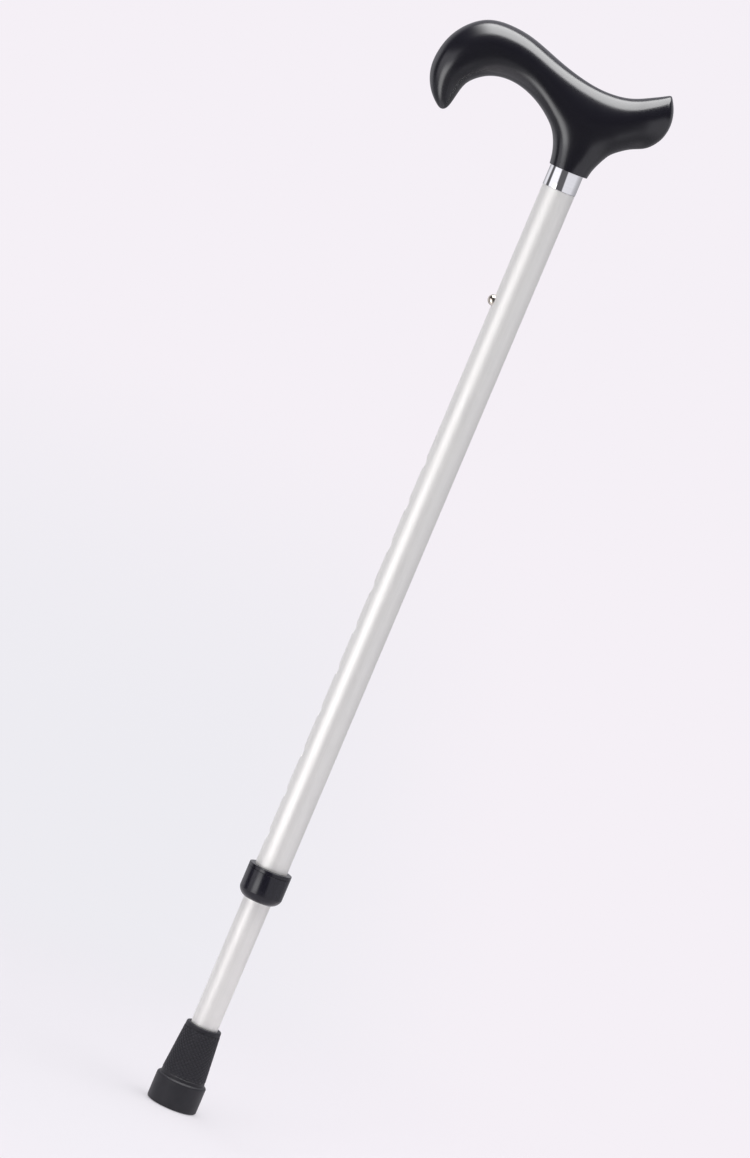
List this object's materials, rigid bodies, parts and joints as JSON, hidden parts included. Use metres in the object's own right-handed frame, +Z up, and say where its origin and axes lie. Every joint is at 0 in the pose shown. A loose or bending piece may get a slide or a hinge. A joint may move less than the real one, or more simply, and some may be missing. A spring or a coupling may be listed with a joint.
{
  "type": "walking cane",
  "caption": "Walking cane of telescoping aluminium tubes with a derby handle, spring button, row of adjusting holes, locking collar and rubber tip.",
  "frame": {"origin": "centre of the rubber tip's sole, on the axis of the shaft", "axes": "+Z up the shaft towards the handle, -X the way the handle's nose, the spring button and the adjusting holes face, +Y across the handle"},
  "size_m": [0.1343, 0.0294, 0.629],
  "materials": {
    "satin_black": "smooth satin black",
    "gloss_black": "moulded, half gloss",
    "black_rubber": "matt moulded rubber",
    "chrome": "polished",
    "satin_silver": "satin anodised",
    "nickel": "polished nickel plating on steel",
    "spring_steel": "blued strip",
    "zinc_steel": "zinc plated",
    "brass": "turned",
    "grey_nylon": "moulded nylon"
  },
  "bodies": {
    "upper_shaft": {"handle": "satin_black", "threaded_insert": "brass", "handle_stud": "zinc_steel", "chrome_ring": "chrome", "tube_plug": "grey_nylon", "upper_tube": "satin_silver", "clamp_sleeve": "gloss_black"},
    "lower_shaft": {"lower_tube": "satin_silver", "guide_bush": "grey_nylon", "button_spring": "spring_steel", "ferrule": "black_rubber", "ferrule_washer": "zinc_steel"},
    "button": {"snap_button": "nickel"},
    "clamp": {"clamp_ring": "grey_nylon"},
    "collar": {"locking_collar": "gloss_black"}
  },
  "joints": [
    {"name": "height_adjust", "type": "slide", "parent": "upper_shaft", "child": "lower_shaft", "axis": [0, 0, -1], "range_m": [0, 0.323], "deforming": ["snap_button"]},
    {"name": "button_press", "type": "slide", "parent": "lower_shaft", "child": "button", "axis": [1, 0, 0], "range_m": [0, 0.00465], "stiffness_N_per_m": 2500, "springref_m": -0.002, "deforming": ["button_spring"]},
    {"name": "collar_travel", "type": "slide", "parent": "upper_shaft", "child": "clamp", "axis": [0, 0, -1], "range_m": [0, 0.00225]},
    {"name": "collar_turn", "type": "hinge", "parent": "clamp", "child": "collar", "pos_m": [0, 0, 0.143], "axis": [0, 0, -1], "range_deg": [0, 540]}
  ],
  "couplings": [
    {"joint": "collar_travel", "follows": "collar_turn", "m_per_rad": 0.00023873}
  ]
}
